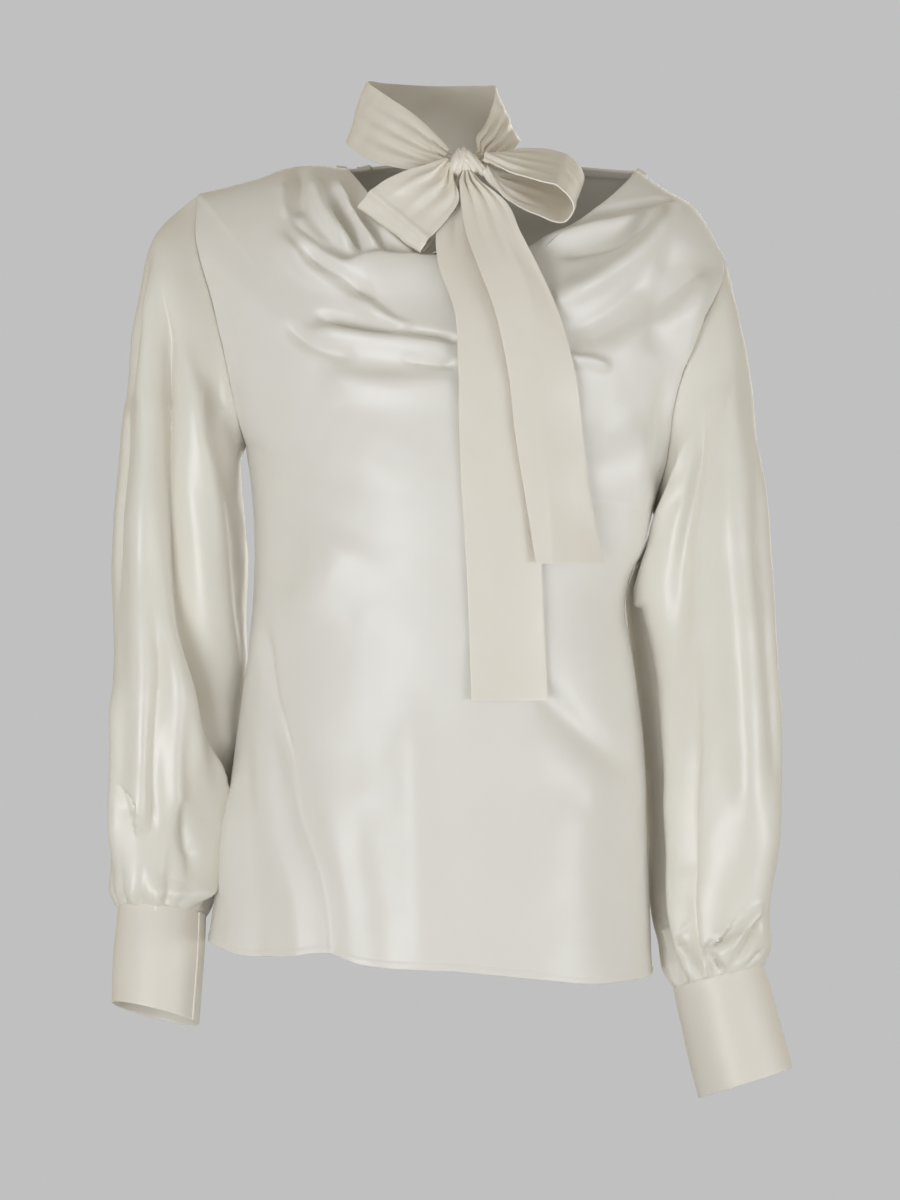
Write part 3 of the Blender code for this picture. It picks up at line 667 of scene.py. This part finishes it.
sleeves = {
    "around": 150,
    "along": 200,
    "crowd": 1.25,  # how much closer the rows lie toward the cuff
    "wall": 0.8,
    # outer x, outer z, inner x, inner z, front y, back y, how far the inner side lies back
    "right": [
        (-212, -51, -147.5, -226, -50, 56, 3), (-227, -109, -147.5, -246, -57, 62, 5),
        (-239, -205, -147, -288, -60, 64, 8), (-246, -300, -146.5, -345, -60, 62, 12),
        (-245.5, -390, -147, -404, -58, 56, 24), (-244.5, -450, -153.5, -458, -56, 50, 28),
        (-244.5, -505, -160.5, -508, -54, 42, 26), (-246, -548, -168, -550, -53, 32, 16),
    ],
    "left": [
        (236, -104, 175.5, -275, -50, 56, 5), (246, -160, 167, -298, -58, 62, 12),
        (257, -246, 154, -336, -60, 64, 24), (264, -320, 158, -382, -60, 60, 28),
        (270, -400, 165, -434, -58, 56, 30), (271.5, -462, 168.5, -486, -56, 50, 30),
        (269, -512, 171, -537, -54, 42, 28), (264, -562, 174, -590, -53, 32, 18),
    ],
    "length": 470,  # what the share and the degrees of a fold's line measure on the cloth
    "degree": 0.95,
    "strength": 1.35,
    "fadeIn": 0.08,  # share of the length over which the folds grow at the armhole and end at the cuff
    "fadeOut": 0.035,
    "puff": (0.965, 0.03, 4.0),  # place, reach and height of the fullness just above the cuff
    "swell": (60, 3.0),
    "crinkle": (15, 0.4),
    "seam": (0.004, 1.0),  # width and depth of the seam line at the armhole, then of the tuck at the cuff
    "tuck": (0.006, 1.6),
    # height, width on the side of more degrees, width on the other side, then the line: share of
    # the length, degrees from the outer side round through the front
    "foldsRight": [
        ("longHollow", -16, 12, 10, [(0.05, 54), (0.16, 70), (0.28, 80), (0.38, 92), (0.55, 108),
                                     (0.68, 122), (0.84, 136)]),
        ("outerRidge", 7, 10, 15, [(0.06, 38), (0.20, 54), (0.36, 62), (0.59, 64), (0.84, 52)]),
        ("outerGroove", -4, 4, 5, [(0.46, 72), (0.60, 76), (0.73, 73), (0.88, 80)]),
        ("middleRidge", 5, 7, 7, [(0.48, 84), (0.60, 88), (0.73, 92), (0.86, 102)]),
        ("outerCrease", -4, 5, 5, [(0.24, 26), (0.40, 32), (0.54, 30)]),
        ("innerRidge", 6, 13, 14, [(0.05, 88), (0.15, 104), (0.32, 126), (0.50, 138), (0.66, 150)]),
        ("headWedge", -5, 8, 8, [(0.02, 126), (0.09, 116), (0.20, 112)]),
        ("capHollow", -5, 12, 12, [(0.05, 20), (0.14, 24), (0.26, 12)]),
        ("wristOverlap", 11, 4.5, 24, [(0.48, 88), (0.60, 104), (0.70, 122), (0.78, 138), (0.86, 146),
                                       (0.93, 142), (1.0, 128), (1.12, 116)]),
        ("wristInner", -6, 8, 5, [(0.58, 118), (0.70, 138), (0.79, 156), (0.88, 164), (0.96, 158),
                                  (1.08, 148)]),
        ("wristTuck", -5, 5, 5, [(0.80, 96), (0.88, 112), (0.95, 120), (1.02, 122)]),
        ("wristOuter", 5, 12, 14, [(0.60, 34), (0.76, 30), (0.94, 34)]),
        ("backHollow", -9, 14, 16, [(0.10, 250), (0.30, 262), (0.55, 246), (0.78, 252)]),
        ("backRidge", 7, 13, 15, [(0.12, 288), (0.40, 300), (0.70, 290)]),
        ("backInner", 5, 13, 15, [(0.20, 218), (0.45, 212), (0.74, 220)]),
        ("elbowTuck", -5, 6, 7, [(0.36, 330), (0.46, 312), (0.56, 290)]),
        ("elbowTuckLow", -4, 6, 7, [(0.46, 340), (0.56, 322), (0.66, 312)]),
    ],
    "foldsLeft": [
        ("wristPleat", 6, 3.5, 26, [(0.34, 96), (0.59, 100), (0.72, 103), (0.86, 104), (0.94, 94),
                                    (1.0, 82), (1.12, 66)]),
        ("wristPleatFoot", -5, 8, 3, [(0.44, 101), (0.59, 105), (0.72, 108), (0.86, 109), (0.94, 100),
                                      (1.0, 89), (1.12, 74)]),
        ("longHollow", -6, 9, 10, [(0.05, 90), (0.14, 96), (0.25, 104), (0.38, 112), (0.52, 116)]),
        ("shoulderBand", 6, 10, 12, [(0.02, 104), (0.10, 124), (0.20, 138), (0.41, 146)]),
        ("innerHollow", -6, 16, 10, [(0.30, 150), (0.50, 152), (0.70, 152), (0.90, 158)]),
        ("innerLight", 4, 8, 9, [(0.40, 128), (0.60, 130), (0.80, 132), (0.92, 124)]),
        ("outerRidge", 6, 14, 16, [(0.06, 56), (0.30, 62), (0.56, 64), (0.80, 60)]),
        ("outerHollow", -4, 10, 10, [(0.20, 30), (0.44, 36), (0.70, 30)]),
        ("puckerHigh", -5, 3.5, 5, [(1.0, 88), (0.975, 76), (0.95, 62), (0.935, 48), (0.93, 34)]),
        ("puckerRidge", 4, 5, 4, [(0.96, 90), (0.94, 76), (0.918, 60), (0.905, 44), (0.90, 32)]),
        ("puckerLow", -3, 3, 3, [(1.02, 78), (0.995, 64), (0.978, 50), (0.97, 36)]),
        ("backHollow", -9, 14, 16, [(0.12, 246), (0.34, 256), (0.56, 250), (0.80, 256)]),
        ("backRidge", 7, 13, 15, [(0.14, 286), (0.42, 296), (0.72, 290)]),
        ("backInner", 5, 13, 15, [(0.22, 216), (0.48, 212), (0.76, 220)]),
        ("elbowTuck", -5, 6, 7, [(0.38, 326), (0.48, 310), (0.58, 290)]),
        ("elbowTuckLow", -4, 6, 7, [(0.50, 338), (0.60, 320), (0.70, 308)]),
    ],
    # gathers above the cuff: degrees, height, width in degrees, how far up they run (share)
    "gathersRight": [
        (22, -3, 5, 0.05), (42, -4, 5, 0.07), (58, 3, 5, 0.04), (70, -4, 5, 0.06),
        (88, 3, 5, 0.05), (100, -5, 5, 0.08), (116, -3, 5, 0.04), (168, -3.5, 6, 0.06),
        (190, -4, 7, 0.10), (206, 3, 6, 0.06), (222, -4, 7, 0.12), (244, -3, 6, 0.07),
        (262, -5, 7, 0.13), (284, 3, 6, 0.08), (300, -4, 7, 0.10), (334, -4, 7, 0.09),
    ],
    "gathersLeft": [
        (12, -3, 6, 0.06), (112, -3, 5, 0.05), (126, 3, 6, 0.06), (140, -4, 6, 0.08),
        (160, 3, 6, 0.06), (176, -4, 7, 0.09), (198, -3, 6, 0.08), (220, -5, 7, 0.13),
        (244, 3, 6, 0.07), (258, -4, 7, 0.10), (284, -4, 7, 0.09), (316, -4, 7, 0.11),
        (340, -3, 6, 0.06),
    ],
}
cuffs = {
    # outer end and inner end of each rim in x and z, then the rim's middle y
    "right": {"top": (-242, -579, -175.5, -585, -13), "bottom": (-245.7, -650, -179.5, -666, -30)},
    "left": {"top": (257.7, -623.5, 189.5, -640.5, -13), "bottom": (278.6, -701, 208, -724, -24)},
    "halfDepth": 37,
    "wall": 1.5,
    "around": 150,
    "down": 40,
    "overlapAt": {"right": 150, "left": 214},  # degrees
    "overlap": 16,
    "lift": 1.5,
    "liftFades": 50,
    "overSleeve": 0.012,  # share of its height by which a cuff reaches up over the sleeve
    "belly": 0.8,
    "swell": (40, 0.9),
}


def oval(turn, outer, inner, frontY, backY, lift):
    swing, depth = np.cos(turn), np.sin(turn)
    middle, half = (np.array(outer) + inner) / 2, (np.array(outer) - inner) / 2
    points = np.empty((len(turn), 3))
    points[:, 0] = middle[0] + half[0] * swing
    points[:, 1] = (frontY + backY) / 2 + (frontY - backY) / 2 * depth
    points[:, 2] = middle[1] + half[1] * swing + lift * depth
    return points


def cuffRing(side, turn, rim):
    outerX, outerZ, innerX, innerZ, middle = cuffs[side][rim]
    top, bottom, depth = cuffs[side]["top"], cuffs[side]["bottom"], cuffs["halfDepth"]
    slope = (bottom[4] - top[4]) / (bottom[1] - top[1])
    return oval(turn, (outerX, outerZ), (innerX, innerZ), middle - depth, middle + depth, depth * slope)


def sleeveBase(side, turn, share):
    # smooth tube from the armhole through the sections to the top of the cuff
    start = np.empty((len(turn), 3))
    for i, half in enumerate(turn / math.pi):
        start[i] = armholePoint(side, "front", half) if half <= 1 else armholePoint(side, "back", 2 - half)
    rings = [start]
    for outerX, outerZ, innerX, innerZ, frontY, backY, lean in sleeves[side]:
        section = oval(turn, (outerX, outerZ), (innerX, innerZ), frontY, backY, 0)
        section[:, 1] -= lean * np.cos(turn)
        rings.append(section)
    rings = np.array([*rings, cuffRing(side, turn, "top")])
    return through(lengthKnots(rings.mean(axis=1)), rings, share)


def sleeveFolds(key, degrees, share):
    # height of the folds on the flat cloth, where a fold's line may run across the first degree
    height = np.zeros((len(share), len(degrees)))
    for _, rise, over, under, line in sleeves["folds" + key]:
        path = along(line, np.linspace(0, 1, 31))
        middle = path[:, 1].mean()
        unrolled = (degrees - middle + 180) % 360 - 180 + middle
        flat = np.empty(height.shape + (2,))
        flat[..., 0] = unrolled[None, :] * sleeves["degree"]
        flat[..., 1] = -share[:, None] * sleeves["length"]
        path = np.stack([path[:, 1] * sleeves["degree"], -path[:, 0] * sleeves["length"]], axis=1)
        height += foldRise(flat.reshape(-1, 2), path, rise, over, under).reshape(height.shape)
    return height


def sleevePoints(side, seed):
    turn = np.linspace(0, 2 * math.pi, sleeves["around"], endpoint=False)
    share = 1 - (1 - np.linspace(0, 1, sleeves["along"] + 1)) ** sleeves["crowd"]
    points = sleeveBase(side, turn, share)
    degrees = np.degrees(turn)
    out = normalsOf(points, True)
    outside = ((points - points.mean(axis=1, keepdims=True)) * out).sum(axis=2).mean()
    out *= 1 if outside > 0 else -1
    key = side.capitalize()
    fade = ease(share / sleeves["fadeIn"]) * (0.15 + 0.85 * ease((1 - share) / sleeves["fadeOut"]))
    height = sleeveFolds(key, degrees, share) * (sleeves["strength"] * fade[:, None])
    # the gathers, and the fullness that puffs out just above the cuff
    for centre, rise, width, reach in sleeves["gathers" + key]:
        apart = (degrees - centre + 180) % 360 - 180
        up = bell((1 - share) / reach) * (0.35 + 0.65 * ease((1 - share) / 0.02))
        height += rise * up[:, None] * bell(apart / width)[None, :]
    place, reach, rise = sleeves["puff"]
    height += (bell((share - place) / reach) * rise)[:, None]
    calm = ease(share / 0.1) * ease((1 - share) / 0.05)
    height += ripple(points, *sleeves["swell"], seed) * calm[:, None]
    height += ripple(points, *sleeves["crinkle"], seed + 1)
    # seam line at the armhole and the tuck into the cuff
    width, depth = sleeves["seam"]
    height -= depth * bell(share / width)[:, None]
    width, depth = sleeves["tuck"]
    height -= depth * ease(1 - (1 - share) / width)[:, None]
    points = points + out * height[..., None]
    tuck = points[-1] + (cuffRing(side, turn, "bottom") - cuffRing(side, turn, "top")) * 0.05
    return np.concatenate([points, tuck[None]])


def cuffPoints(side):
    first = math.radians(cuffs["overlapAt"][side])
    lap = math.radians(cuffs["overlap"])
    turn = np.linspace(first, first + 2 * math.pi + lap, cuffs["around"])
    top, bottom = cuffRing(side, turn, "top"), cuffRing(side, turn, "bottom")
    share = np.linspace(-cuffs["overSleeve"], 1, cuffs["down"])[:, None, None]
    points = top + (bottom - top) * share
    middle = points.mean(axis=1, keepdims=True)
    out = points - middle
    out /= np.linalg.norm(out, axis=2, keepdims=True)
    lift = cuffs["lift"] * (1 - ease((turn - first) / math.radians(cuffs["liftFades"])))
    belly = cuffs["belly"] * np.sin(np.linspace(0, math.pi, cuffs["down"]))[:, None]
    soft = ripple(points, *cuffs["swell"], 11 if side == "right" else 14)
    return points + out * (lift[None, :] + belly + soft)[..., None]


for side, seed in (("right", 21), ("left", 33)):
    name = f"sleeve_{side}"
    piece = makeCloth(name, sleevePoints(side, seed), True, sleeves["wall"], materials["satinSleeve"])
    dress(piece, "satinSleeve", name, flat=(0.37, 0.57), area=0.16, held="hung", rests_on=["front", "back"])
    piece = makeCloth(f"cuff_{side}", cuffPoints(side), False, cuffs["wall"], materials["satinCuff"], 0.5)
    dress(piece, "satinCuff", f"cuff_{side}", flat=(0.250, 0.086), held="hung", rests_on=[name])
print("sleeves and cuffs made")


# Scarf tie

tie = {
    "tautDown": 175,  # how far down a tail hangs straight from the knot
    "reach": 6,  # how near, both ways, a point of the front counts as under a point of a tail
    "standOff": 0.6,
    "wall": 1.1,
    "edge": 0.4,
    # cells across and along each piece
    "bandGrid": (40, 220),
    "loopGrid": (44, 130),
    "tailGrid": (36, 170),
    # size and height of the slow swelling and of the fine crinkle
    "swell": (22, 1.3),
    "crinkle": (8, 0.3),
    "tailSwell": (34, 0.9),
    "tailCrinkle": (9, 0.15),
    # x, y, z of one edge and of the other, from end to end
    "band": [
        (11, -70, -12, 15, -72, 3), (-6, -64, -12, 5, -62, 15), (-30, -49, -7, -11, -47, 32),
        (-54, -24, 5, -34, -24, 51), (-66, 10, 20, -50, 4, 66), (-48, 50, 16, -36, 42, 70),
        (5, 69, 11.1, 3, 58, 70), (52, 50, 16, 41, 42, 68), (67, 10, 20, 51, 2, 60),
        (68, -28, 14, 46, -22, 38), (60, -50, 3, 40, -46, 22), (49, -66, -6, 35, -64, 11),
        (41, -72, -12, 36, -74, 2),
    ],
    "loopRight": [
        (12, -84, -4, 15, -86, -15), (-3, -88, -10, 22, -96, -35), (-21, -90, -16, 14, -103, -51),
        (-37, -88, -24, 5, -105, -62), (-48, -86, -33, -3, -106, -71), (-55, -79, -41, -7, -102, -77),
        (-53, -71, -40, -6, -96, -77), (-38, -69, -33, 0, -92, -71), (-18, -70, -24, 7, -88, -58),
        (0, -72, -17, 13, -83, -40), (12, -76, -9, 15, -78, -19),
    ],
    "loopLeft": [
        (41, -90, -5, 41, -78, -3), (55, -97, -14, 56, -70, 2), (70, -102, -20, 72, -58, 6),
        (82, -104, -24, 88, -50, 6), (94, -105, -28, 103, -45, 2), (104, -105, -36, 115, -43, -6),
        (108, -104, -46, 118, -43, -17), (104, -103, -53, 113, -45, -23), (97, -102, -55, 99, -48, -21),
        (82, -101, -50, 80, -55, -16), (65, -99, -42, 61, -66, -13), (53, -96, -33, 50, -75, -13),
        (42, -91, -14, 41, -80, -11),
    ],
    # z, x of the right edge, x of the left edge, y above the neckline
    "tailLong": [
        (-20, 19, 33, -81), (-38, 12, 46, -85), (-59, 5, 53, -92), (-86, 6, 59, None),
        (-122, 18, 72, None), (-164, 21, 77, None), (-220, 22, 79, None), (-330, 28, 84, None),
        (-414, 31, 88, None),
    ],
    "tailShort": [
        (-21, 22, 36, -89), (-38, 23, 56, -96), (-63, 27, 68, -106), (-87, 35, 80, None),
        (-116, 46, 93, None), (-163, 57, 107, None), (-220, 64, 115, None), (-270, 72, 122, None),
        (-312, 79, 131, None),
    ],
    # where each loop is folded over: share of its length, height, width (mm)
    "loopFolds": {
        "loopRight": [(0.405, -1.6, 2.2), (0.45, 1.2, 4), (0.555, -1.2, 3)],
        "loopLeft": [(0.36, -0.8, 5), (0.60, -0.8, 5)],
    },
    # pleats that run in to the knot: place across, height, width across, reach (mm)
    "pleatsBand": [
        (0.08, -2.4, 0.05, 36), (0.20, 3.0, 0.06, 62), (0.33, -3.2, 0.05, 48), (0.46, 3.0, 0.06, 80),
        (0.58, -3.2, 0.05, 44), (0.70, 3.0, 0.06, 66), (0.82, -2.6, 0.05, 38), (0.93, 1.8, 0.05, 50),
    ],
    "pleatsLoop": [
        (0.10, 2.4, 0.06, 22), (0.23, -3.4, 0.05, 34), (0.37, 3.0, 0.06, 26), (0.50, -3.6, 0.05, 30),
        (0.64, 3.0, 0.06, 38), (0.78, -3.2, 0.05, 24), (0.90, 2.2, 0.05, 32),
    ],
    "pleatsTail": [
        (0.12, -2.6, 0.06, 26), (0.27, 2.8, 0.06, 40), (0.42, -3.2, 0.06, 34), (0.57, 2.8, 0.07, 46),
        (0.72, -3.0, 0.06, 28), (0.87, 2.2, 0.06, 36),
    ],
}
knot = {
    "middle": (27, -82, -8),
    "half": (12, 9.0, 9.5),
    "core": 0.86,  # size of the core within the strands
    "wall": 0.8,
    "turn": (-160, 215, 84),  # degrees from end to end of a strand, and its rows
    "across": 33,
    "crinkle": (4, 0.4),
    # place across, width, how far out, slant and tilt of a strand, then its folds: place, height, width
    "wraps": [
        {"x": 5.0, "width": 17, "out": 0.97, "slant": 5.0, "tilt": 0.35, "start": 3,
         "folds": [(0.18, 1.0, 0.08), (0.40, -0.9, 0.07), (0.62, 1.0, 0.09), (0.84, -0.6, 0.06)]},
        {"x": -5.5, "width": 12, "out": 1.10, "slant": -2.5, "tilt": -0.15, "start": 8,
         "folds": [(0.20, 0.9, 0.09), (0.42, -0.8, 0.07), (0.66, 1.1, 0.10), (0.86, -0.5, 0.07)]},
    ],
}


def ribbonEdges(rows, lines):
    table = np.asarray(rows, float).reshape(-1, 2, 3)
    return through(lengthKnots(table.mean(axis=1)), table, np.linspace(0, 1, lines + 1))


def pleated(points, pleats, ends):
    # adds the pleats along the cloth's normal, fading with the distance from each knotted end
    share = np.linspace(0, 1, points.shape[1])
    steps = np.linalg.norm(np.diff(points.mean(axis=1), axis=0), axis=1)
    run = np.concatenate([[0], np.cumsum(steps)])
    height = np.zeros(points.shape[:2])
    for end in ends:
        away = run if end == "start" else run[-1] - run
        for centre, rise, width, reach in pleats:
            fade = bell(away / reach)
            height += rise * fade[:, None] * bell((share - centre) / width)[None, :]
    return points + normalsOf(points) * height[..., None]


def ribbon(rows, grid, pleats, seed, folds=()):
    across, lines = grid
    edges = ribbonEdges(rows, lines)
    share = np.linspace(0, 1, across + 1)[None, :, None]
    points = edges[:, None, 0] + (edges[:, None, 1] - edges[:, None, 0]) * share
    points = pleated(points, pleats, ["start", "end"])
    soft = ripple(points, *tie["swell"], seed) + ripple(points, *tie["crinkle"], seed + 1)
    run = np.linspace(0, 1, lines + 1)
    length = np.linalg.norm(np.diff(points.mean(axis=1), axis=0), axis=1).sum()
    for place, rise, width in folds:
        soft += (rise * bell((run - place) * length / width))[:, None]
    return points + normalsOf(points) * soft[..., None]


def evened(values):
    return (values[:-2] + 2 * values[1:-1] + values[2:]) / 4


def restingDepth(points, under, spread):
    # y of the front under each point, straight across over its dips and evened out down the tail
    flat = points[..., [0, 2]].reshape(-1, 2)
    sideways, upright, reach = under[:, 0], under[:, 2], tie["reach"]
    rest = [under[(np.abs(sideways - x) < reach) & (np.abs(upright - z) < reach), 1].min(initial=0)
            for x, z in flat]
    rest = np.array(rest).reshape(points.shape[:2])
    level = rest.copy()
    for a in range(len(spread)):
        for b in range(a + 2, len(spread)):
            part = (spread[a:b + 1] - spread[a]) / (spread[b] - spread[a])
            line = rest[:, a:a + 1] + (rest[:, b:b + 1] - rest[:, a:a + 1]) * part
            level[:, a:b + 1] = np.minimum(level[:, a:b + 1], line)
    for _ in range(9):
        padded = np.pad(level, ((1, 1), (0, 0)), mode="edge")
        level = np.minimum(np.minimum(padded[:-2], padded[1:-1]), padded[2:])
    for _ in range(60):
        level = evened(np.pad(level, ((1, 1), (0, 0)), mode="edge"))
    return level


def tailPoints(rows, under, gap, seed):
    across, lines = tie["tailGrid"]
    table = np.array([[row[0], row[1], row[2]] for row in rows], float)
    free = [row[3] for row in rows if row[3] is not None]
    knots = (table[0, 0] - table[:, 0]) / (table[0, 0] - table[-1, 0])
    share = np.linspace(0, 1, lines + 1)
    edges = through(knots, table, share)
    spread = np.linspace(0, 1, across + 1)
    points = np.empty((lines + 1, across + 1, 3))
    points[..., 0] = edges[:, 1:2] + (edges[:, 2:3] - edges[:, 1:2]) * spread
    points[..., 2] = edges[:, 0:1]
    rest = restingDepth(points, under, spread) - gap
    first = int(np.searchsorted(share, knots[len(free)]))
    start = np.array(free)[:, None] * np.ones(across + 1)
    landed = np.concatenate([start, rest[first:first + 1]])
    hanging = through(np.append(knots[:len(free)], share[first]), landed, share[:first])
    depth = np.concatenate([hanging, rest[first:]])
    # pulled taut over what sticks out between the knot and the chest
    taut = int(np.searchsorted(share, (table[0, 0] + tie["tautDown"]) / (table[0, 0] - table[-1, 0])))
    for a in range(0, taut, 3):
        for b in range(a + 6, taut, 3):
            part = ((share[a:b + 1] - share[a]) / (share[b] - share[a]))[:, None]
            depth[a:b + 1] = np.minimum(depth[a:b + 1], depth[a] + (depth[b] - depth[a]) * part)
    for _ in range(24):
        depth[2:-1] = evened(depth[1:])
    points[..., 1] = depth
    points = pleated(points, tie["pleatsTail"], ["start"])
    points[0] += (np.array(knot["middle"]) - points[0]) * 0.5
    soft = ripple(points, *tie["tailSwell"], seed) + ripple(points, *tie["tailCrinkle"], seed + 1)
    return points - np.array([0, 1, 0]) * (soft + tie["standOff"])[..., None]


def wrapPoints(wrap):
    # one strand goes round the knot from behind, over the top and down the front, aslant
    middle, half = np.array(knot["middle"], float), knot["half"]
    turn = np.radians(np.linspace(*knot["turn"]))
    share = np.linspace(0, 1, knot["across"])
    points = np.empty((len(turn), len(share), 3))
    for i, angle in enumerate(turn):
        squeeze = 1 - 0.25 * (1 - math.cos(angle)) / 2
        radius = wrap["out"] * (1 - 0.34 * np.abs(2 * share - 1) ** 3)
        sway = 0.06 * math.sin(angle * 1.4 + wrap["start"])
        bumps = sum(rise * bell((share - centre - sway) / width) for centre, rise, width in wrap["folds"])
        across = (share - 0.5) * wrap["width"] * squeeze
        points[i, :, 0] = middle[0] + wrap["x"] + across - wrap["slant"] * math.sin(angle)
        points[i, :, 1] = middle[1] - (half[1] * radius + bumps) * math.cos(angle)
        points[i, :, 2] = middle[2] + (half[2] * radius + bumps) * math.sin(angle) - across * wrap["tilt"]
    return points + normalsOf(points) * ripple(points, *knot["crinkle"], wrap["start"])[..., None]


def knotCore():
    bm = bmesh.new()
    bmesh.ops.create_uvsphere(bm, u_segments=32, v_segments=20, radius=1)
    bmesh.ops.scale(bm, verts=bm.verts, vec=[size * knot["core"] * mm for size in knot["half"]])
    bmesh.ops.translate(bm, verts=bm.verts, vec=[place * mm for place in knot["middle"]])
    core = placeMesh(bm, "tie_knot_core", materials["satinTie"])
    core.data.shade_smooth()
    return core


def makeTie():
    satin = materials["satinTie"]
    knotPieces = [knotCore()]
    for i, wrap in enumerate(knot["wraps"]):
        name = f"tie_knot_strand_{i + 1}"
        knotPieces.append(makeCloth(name, wrapPoints(wrap), False, knot["wall"], satin))
    for piece in knotPieces:
        dress(piece, "satinTie", "tie_knot")
    band = ribbon(tie["band"], tie["bandGrid"], tie["pleatsBand"], 41)
    piece = makeCloth("tie_band", band, False, tie["wall"], satin, tie["edge"])
    dress(piece, "satinTie", "tie_band", flat=(0.058, 0.40), held="draped", rests_on=["back"],
          with_pieces=knotPieces)
    for key, name, seed in (("loopRight", "tie_loop_right", 51), ("loopLeft", "tie_loop_left", 61)):
        loop = ribbon(tie[key], tie["loopGrid"], tie["pleatsLoop"], seed, tie["loopFolds"][key])
        piece = makeCloth(name, loop, False, tie["wall"], satin, tie["edge"])
        dress(piece, "satinTie", name, flat=(0.058, 0.165), held="folded", rests_on=["tie_knot"])
    under = frontPoints.reshape(-1, 3)
    for key, name, length, gap, seed in (
        ("tailLong", "tie_tail_long", 0.40, 1.2, 71), ("tailShort", "tie_tail_short", 0.31, 1.7, 81)
    ):
        tail = tailPoints(tie[key], under, gap, seed)
        piece = makeCloth(name, tail, False, tie["wall"], satin, tie["edge"])
        dress(piece, "satinTie", name, flat=(0.058, length), held="hung", rests_on=["tie_knot", "front"])
        under = np.concatenate([under, tail.reshape(-1, 3)])


makeTie()
print("tie made")
